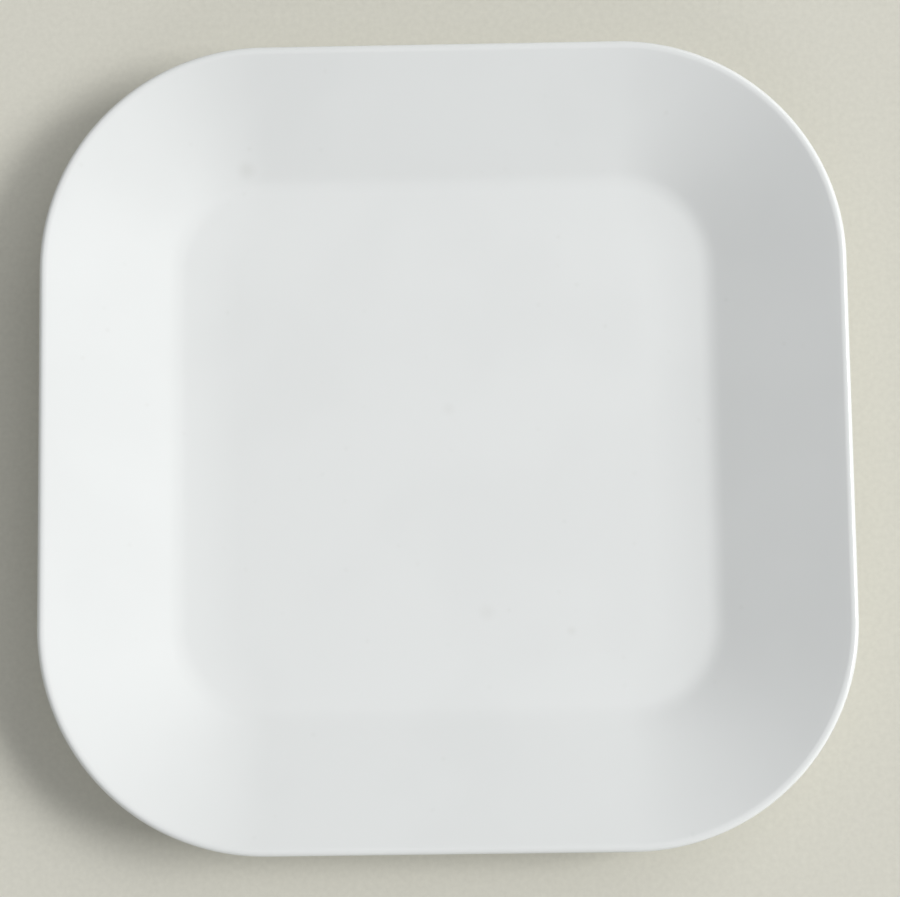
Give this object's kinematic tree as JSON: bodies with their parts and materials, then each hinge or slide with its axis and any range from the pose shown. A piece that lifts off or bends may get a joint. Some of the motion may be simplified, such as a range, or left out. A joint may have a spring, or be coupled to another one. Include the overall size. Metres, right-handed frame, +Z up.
{
  "type": "salad plate",
  "caption": "Square white salad plate with round corners: flat well, straight sloping wall, rounded lip, glossy glaze and a bare foot ring to stand on.",
  "frame": {"origin": "on the table, under the middle of the plate", "axes": "+Z up out of the well; X and Y square to the straight sides"},
  "size_m": [0.203, 0.203, 0.0185],
  "materials": {
    "bare_porcelain": "matte",
    "white_glaze": "gloss"
  },
  "bodies": {
    "root": {"porcelain_body": "bare_porcelain", "face_glaze": "white_glaze", "base_glaze": "white_glaze"}
  },
  "joints": []
}
